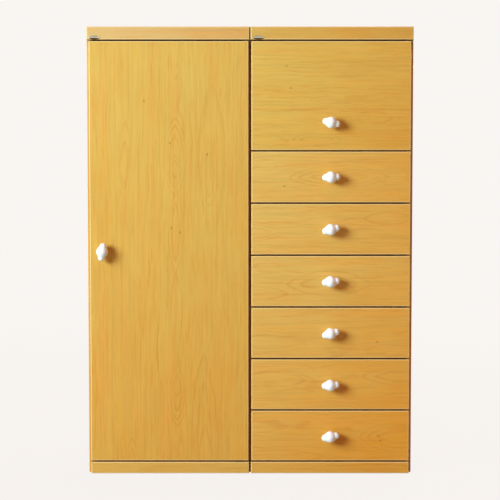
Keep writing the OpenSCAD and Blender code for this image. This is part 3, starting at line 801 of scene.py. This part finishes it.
badgeLook = {
    "cadWidth": 0.030,  # of the plain solids that these replace
    "width": 0.0325,
    "height": 0.0125,
    "rise": 0.0064,  # from the lower edge of a fascia to its middle
    "paintedLightTones": [  # from the lower edge up: a painted shadow, a painted highlight across the middle, and the dull upper part
        (0.05, colourOf(126, 104, 62)), (0.30, colourOf(84, 66, 34)), (0.40, colourOf(90, 72, 40)),
        (0.48, colourOf(214, 208, 190)), (0.62, colourOf(206, 202, 184)),
        (0.74, colourOf(160, 158, 138)), (1.0, colourOf(172, 168, 148)),
    ],
    "cloud": {"scale": 400.0, "detail": 4.0, "roughness": 0.6},
    "cloudShifts": 0.12,
    "roughness": 0.24,
    "roughens": 0.2,
    "depth": 0.00005,
    "relief": 0.4,
    "point": 0.0020,  # how much of the lens is cut off at each end
    "thick": 0.0018,
    "sides": 220,
    "weld": 0.00002,
    "flatAngle": math.radians(0.5),
    "frontNormal": -0.9,
    "steps": [  # how far each goes in, along and up, and rises: the rim, its wall, then the dome
        (0.0024, 0.0010, 0.0), (0.0006, 0.0002, -0.0008), (0.0022, 0.0010, 0.0004),
        (0.0030, 0.0012, 0.0003), (0.0040, 0.0014, 0.0001),
    ],
    "round": 0.00028,
    "roundAngle": math.radians(60),
    "smoothAngle": math.radians(40),
}


def badgeModel():
    # a lens between two arcs, its points cut round, with a raised rim and a low dome in it
    look = badgeLook
    high, long = look["height"] / 2, look["width"] / 2 + look["point"]
    arc = (long ** 2 + high ** 2) / (2 * high)
    sides = look["sides"]
    discs = []
    for radius, drop, count in (
        (arc, arc - high, sides), (arc, high - arc, sides), (look["width"] / 2, 0.0, sides // 2),
    ):
        deselectAll()
        bpy.ops.mesh.primitive_cylinder_add(
            vertices=count, radius=radius, depth=look["thick"],
            location=(0.0, -look["thick"] / 2, drop), rotation=(math.radians(90), 0.0, 0.0))
        discs.append(bpy.context.object)
        settle()
    badge = discs[0]
    badge.name = "badgeModel"
    for disc in discs[1:]:
        useModifier(badge, "BOOLEAN", operation="INTERSECT", solver="EXACT", object=disc)
        bpy.data.objects.remove(disc)
    selectOnly(badge)
    bpy.ops.object.mode_set(mode="EDIT")
    bpy.ops.mesh.select_mode(type="FACE")
    bpy.ops.mesh.select_all(action="SELECT")
    bpy.ops.mesh.remove_doubles(threshold=look["weld"])
    bpy.ops.mesh.dissolve_limited(angle_limit=look["flatAngle"])
    bpy.ops.mesh.select_all(action="DESELECT")
    bpy.ops.object.mode_set(mode="OBJECT")
    for face in badge.data.polygons:
        face.select = face.normal.y < look["frontNormal"]
    bpy.ops.object.mode_set(mode="EDIT")
    long, front = look["width"] / 2, -look["thick"]
    for inX, inZ, rise in look["steps"]:
        bpy.ops.mesh.extrude_region_move(TRANSFORM_OT_translate={"value": (0.0, -rise, 0.0)})
        front -= rise
        bpy.ops.transform.resize(
            value=(1 - inX / long, 1.0, 1 - inZ / high), center_override=(0.0, front, 0.0))
        long, high = long - inX, high - inZ
    bpy.ops.object.mode_set(mode="OBJECT")
    useModifier(badge, "BEVEL", width=look["round"], segments=2, limit_method="ANGLE",
                angle_limit=look["roundAngle"])
    selectOnly(badge)
    bpy.ops.object.shade_smooth_by_angle(angle=look["smoothAngle"])
    return badge


def badgeMetal(middle):
    # silver with a painted highlight across its middle and a painted shadow along its lower edge
    look = badgeLook
    paint = Paint("badgeSilver")
    cloud = paint.noise(paint.place(), **look["cloud"])
    up = (paint.axes()["z"] - middle) * (1 / look["height"]) + 0.5
    up = up + (cloud - 0.5) * look["cloudShifts"]
    return paint.finish(
        # painted shadow low on the badge and a painted highlight across its middle, by height
        Base_Color=paint.node("ValToRGB", {"stops": look["paintedLightTones"]}, {0: up}),
        Metallic=1.0,
        Roughness=look["roughness"] + (cloud - 0.5) * look["roughens"],
        Normal=paint.bump(cloud, look["depth"], look["relief"]),
    )


badgesLow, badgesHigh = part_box("badges")
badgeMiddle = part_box("wardrobe_fascia")[0].z + badgeLook["rise"]
firstBadge = badgeModel()
firstBadge.data.materials.append(badgeMetal(badgeMiddle))
halfBadge = badgeLook["cadWidth"] / 2
badgesAcross = {"wardrobe": badgesLow.x + halfBadge, "chest": badgesHigh.x - halfBadge}
for cabinet, across in badgesAcross.items():
    place = (across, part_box(cabinet + "_fascia")[0].y, badgeMiddle)
    badge = copyOf(firstBadge, cabinet + "Badge", place)
    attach(badge, "carcass")
    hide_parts("badges")
bpy.data.objects.remove(firstBadge)
print("Badges set")


# Screws, nails and the door's catch

screwLook = {
    "head": [  # the place along y, and the radius there
        (0.0006, 0.0026), (0.0, 0.0029), (-0.0005, 0.0029), (-0.0009, 0.0024), (-0.0011, 0.0015),
    ],
    "slot": (0.0038, 0.0012, 0.0008),  # its length, twice its depth, and its width
    "sides": 24,
}
nailLook = {
    "head": [  # the place along y, and the radius there
        (-0.0005, 0.0010), (0.0, 0.0019), (0.0002, 0.0019), (0.0004, 0.0012), (0.00045, 0.0004),
    ],
    "sides": 12,
    "inset": 0.009,
    "pitch": 0.150,
}
headSmoothAngle = math.radians(35)
turnsOf = {  # how a head that faces along -y is turned to face another way
    "-y": (0, 0, 0), "+y": (0, 0, 180), "+x": (0, 0, 90), "-x": (0, 0, -90), "+z": (-90, 0, 0),
    "-z": (90, 0, 0),
}


def screwModel():
    # a low head that faces along -y, with a cross recess
    screw = turned("screwModel", "y", screwLook["head"], screwLook["sides"])
    front = screwLook["head"][-1][0]
    long, deep, wide = screwLook["slot"]
    for size in ((long, deep, wide), (wide, deep, long)):
        deselectAll()
        bpy.ops.mesh.primitive_cube_add(size=1.0, location=(0.0, front, 0.0), scale=size)
        cutter = bpy.context.object
        settle()
        useModifier(screw, "BOOLEAN", operation="DIFFERENCE", solver="EXACT", object=cutter)
        bpy.data.objects.remove(cutter)
    return screw


def fasten(model, name, body, facing, places, material, slot):
    # copies of one model, joined into a piece that moves with a body
    piece = joined(*[
        copyOf(model, name + str(count), place, turnsOf[facing])
        for count, place in enumerate(places)
    ])
    piece.name = name
    piece.data.materials.clear()
    piece.data.materials.append(material)
    bpy.ops.object.shade_smooth_by_angle(angle=headSmoothAngle)
    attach(piece, body)


screwPlaces = {
    "doorPivotX": (-0.0265, -0.0445),
    "doorPivotY": -0.2328,
    "flapPivotX": (0.0095, 0.4885),
    "flapPivotY": -0.21825,
    "flapPivotZ": (1.3125, 1.3355),
    "stayX": 0.4600,
    "stayY": -0.21925,
    "stayZ": (1.2090, 1.2240),
    "socketBase": 0.003,  # how thick the rail's cups are under their screws
    "socketInset": 0.0052,  # from a cup's upper and lower edges
}
plinthTop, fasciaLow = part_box("wardrobe_plinth")[1].z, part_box("wardrobe_fascia")[0].z
doorPivots = [(x, screwPlaces["doorPivotY"]) for x in screwPlaces["doorPivotX"]]
flapPivots = [
    (x, screwPlaces["flapPivotY"], z)
    for x in screwPlaces["flapPivotX"] for z in screwPlaces["flapPivotZ"]
]
stayScrews = [(screwPlaces["stayX"], screwPlaces["stayY"], z) for z in screwPlaces["stayZ"]]
socketLow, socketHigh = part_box("rail_sockets")
socketMiddle = (socketLow + socketHigh) / 2
socketReach = (socketHigh.z - socketLow.z) / 2 - screwPlaces["socketInset"]
sockets = [(socketMiddle.y, socketMiddle.z + side * socketReach) for side in (1, -1)]
socketLeft = socketLow.x + screwPlaces["socketBase"]
socketRight = socketHigh.x - screwPlaces["socketBase"]
screwGroups = [
    ("doorPivotScrewsLow", "carcass", "+z", [(x, y, plinthTop) for x, y in doorPivots],
     bronze, "bronzed_steel"),
    ("doorPivotScrewsHigh", "carcass", "-z", [(x, y, fasciaLow) for x, y in doorPivots],
     bronze, "bronzed_steel"),
    ("flapPivotScrews", "carcass", "-y", flapPivots, bronze, "bronzed_steel"),
    ("stayBracketScrews", "flap", "+y", stayScrews, zinc, "steel"),
    ("railScrewsLeft", "carcass", "+x", [(socketLeft, y, z) for y, z in sockets],
     chrome, "rail_steel"),
    ("railScrewsRight", "carcass", "-x", [(socketRight, y, z) for y, z in sockets],
     chrome, "rail_steel"),
]
firstScrew = screwModel()
for screwGroup in screwGroups:
    fasten(firstScrew, *screwGroup)
bpy.data.objects.remove(firstScrew)

# a nail's head is modelled facing backwards, as it stands in a back, so it stays unturned
firstNail = turned("nailModel", "y", nailLook["head"], nailLook["sides"])
inset = nailLook["inset"]
for cabinet in ("wardrobe", "chest"):
    low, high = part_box(cabinet + "_back")
    wide, tall = high.x - low.x - 2 * inset, high.z - low.z - 2 * inset
    acrossCount, upCount = round(wide / nailLook["pitch"]), round(tall / nailLook["pitch"])
    spots = [
        (low.x + inset + across * wide / acrossCount, high.y, low.z + inset + up * tall / upCount)
        for across in range(acrossCount + 1)
        for up in range(upCount + 1)
        if across in (0, acrossCount) or up in (0, upCount)
    ]
    fasten(firstNail, cabinet + "BackNails", "carcass", "-y", spots, bronze, "bronzed_steel")
bpy.data.objects.remove(firstNail)

catchLook = {
    "low": (-0.4820, -0.21965, 0.8257),  # the lowest and the highest corner of its case
    "high": (-0.4677, -0.1792, 0.8723),
    "round": 0.0012,
    "sideNormal": 0.99,
    "panelInset": 0.0045,
    "panelRise": 0.0007,
    "poleShares": (0.32, 0.68),  # where each plate stands in the width of the case
    "poleWide": 0.0024,
    "poleRise": 0.0001,
    "poleDeep": 0.0100,
    "poleInset": 0.0060,
    "poleRound": 0.0002,
}


def blockPiece(name, low, high, rounding, segments):
    # a block with rounded edges, between two corners
    deselectAll()
    bpy.ops.mesh.primitive_cube_add(size=1.0, location=(low + high) / 2, scale=high - low)
    block = bpy.context.object
    block.name = name
    settle()
    useModifier(block, "BEVEL", width=rounding, segments=segments, limit_method="ANGLE")
    return block


def addCatch():
    # a moulded case over the magnet, with a raised panel on its side, and the edges of two pole
    # plates in front
    look = catchLook
    low, high = Vector(look["low"]), Vector(look["high"])
    case = blockPiece("catchCase", low, high, look["round"], segments=3)
    for face in case.data.polygons:
        face.select = face.normal.x > look["sideNormal"]
    bpy.ops.object.mode_set(mode="EDIT")
    bpy.ops.mesh.select_mode(type="FACE")
    bpy.ops.mesh.inset(thickness=look["panelInset"], depth=0.0)
    bpy.ops.mesh.inset(thickness=look["panelRise"], depth=look["panelRise"])
    bpy.ops.object.mode_set(mode="OBJECT")
    case.data.materials.append(bronze)
    poles = []
    for share in look["poleShares"]:
        middle, half = low.x + share * (high.x - low.x), look["poleWide"] / 2
        poleLow = Vector((middle - half, low.y - look["poleRise"], low.z + look["poleInset"]))
        poleHigh = Vector((middle + half, low.y + look["poleDeep"], high.z - look["poleInset"]))
        poles.append(blockPiece("catchPoles", poleLow, poleHigh, look["poleRound"], segments=1))
    pole = joined(*poles)
    pole.data.materials.append(zinc)
    for piece, slot in ((case, "bronzed_steel"), (pole, "steel")):
        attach(piece, "carcass")


addCatch()
print("Screws, nails and catch set")


# Floor, light and camera

studioLook = {
    "backdrop": colourOf(249, 245, 242),
    "floorSize": 60.0,
    "floorPaint": colourOf(150, 138, 122),
    "floorRoughness": 0.9,
    "floorShow": 0.95,  # how much of the backdrop's colour it shows beside the part
    "floorFade": (1.2, 4.5),  # between these distances it goes over into the backdrop
    "ambient": 0.27,
    "ambientTint": (1.0, 0.22, 0.06, 1.0),
    "lampTarget": (0.0, -0.2, 0.75),
    "lamps": {
        "keyLamp": {
            "at": (-4.7, -3.8, 2.45), "size": 2.6, "power": 545.0, "tint": (0.835, 1.04, 1.09)},
        "topLamp": {
            "at": (-0.6, -1.6, 4.4), "size": 2.2, "power": 26.0, "tint": (1.0, 0.64, 0.40)},
        "sideLamp": {
            "at": (5.2, -1.7, 1.6), "size": 2.0, "power": 18.0, "tint": (1.0, 0.56, 0.32)},
        "rightLamp": {
            "at": (4.6, 1.5, 2.2), "size": 1.6, "power": 120.0, "tint": (0.90, 1.0, 1.0)},
        "backLamp": {
            "at": (1.6, 5.2, 2.6), "size": 2.6, "power": 250.0, "tint": (0.90, 1.0, 1.0)},
        "lidLamp": {
            "at": (-0.2, 1.4, 4.6), "size": 2.2, "power": 75.0, "tint": (0.90, 1.0, 1.0)},
    },
}


def seenShare(paint):
    # 1 for rays that show the backdrop: from the camera, off gloss and through glass
    path = paint.tree.nodes.new("ShaderNodeLightPath")
    camera, glossy, through = [
        Wire(paint, path.outputs[f"Is {kind} Ray"]) for kind in ("Camera", "Glossy", "Transmission")
    ]
    return paint.maths("MAXIMUM", camera, paint.maths("MAXIMUM", glossy, through))


def addFloor():
    look = studioLook
    deselectAll()
    bpy.ops.mesh.primitive_plane_add(size=look["floorSize"], location=(0.0, 0.0, cadLow.z))
    floor = bpy.context.object
    floor.name = "floor"
    settle()
    paint = Paint("floorPaint")
    paint.finish(Base_Color=look["floorPaint"], Roughness=look["floorRoughness"])
    painted = Wire(paint, paint.shader.outputs[0])
    glow = paint.node("Emission", None, {"Color": look["backdrop"], "Strength": 1.0})
    away = paint.distance(paint.place())
    share = seenShare(paint) * paint.smooth(away, *look["floorFade"], look["floorShow"], 1.0)
    both = paint.node("MixShader", None, {0: share, 1: painted, 2: glow})
    paint.feed(paint.tree.nodes["Material Output"].inputs["Surface"], both)
    floor.data.materials.append(paint.owner)


def addWorld():
    look = studioLook
    world = bpy.data.worlds.new("studio")
    bpy.context.scene.world = world
    paint = Paint("studio", world)
    ambient = paint.node(
        "Background", None, {"Color": look["ambientTint"], "Strength": look["ambient"]})
    shown = paint.node("Background", None, {"Color": look["backdrop"], "Strength": 1.0})
    both = paint.node("MixShader", None, {0: seenShare(paint), 1: ambient, 2: shown})
    paint.feed(paint.tree.nodes["World Output"].inputs["Surface"], both)


def addLamp(name, look):
    bpy.ops.object.light_add(type="AREA", location=look["at"])
    lamp = bpy.context.object
    lamp.name = name
    lamp.data.shape = "SQUARE"
    lamp.data.size = look["size"]
    lamp.data.energy = look["power"]
    lamp.data.color = look["tint"]
    aim = Vector(studioLook["lampTarget"]) - Vector(look["at"])
    lamp.rotation_euler = aim.to_track_quat("-Z", "Y").to_euler()


cameraLook = {
    "at": (0.0, -4.990, 1.0135),
    "tilt": math.radians(86.155),
    "lens": 111.6,
    "sensor": 36.0,
    "clipEnd": 200.0,
}


def addCamera():
    look = cameraLook
    bpy.ops.object.camera_add(location=look["at"], rotation=(look["tilt"], 0.0, 0.0))
    camera = bpy.context.object
    camera.name = "photoCamera"
    camera.data.lens = look["lens"]
    camera.data.sensor_width = look["sensor"]
    camera.data.clip_end = look["clipEnd"]
    bpy.context.scene.camera = camera


addFloor()
addWorld()
for lampName, lampLook in studioLook["lamps"].items():
    addLamp(lampName, lampLook)
addCamera()
bpy.context.scene.view_settings.view_transform = "Standard"
print("Stage set")
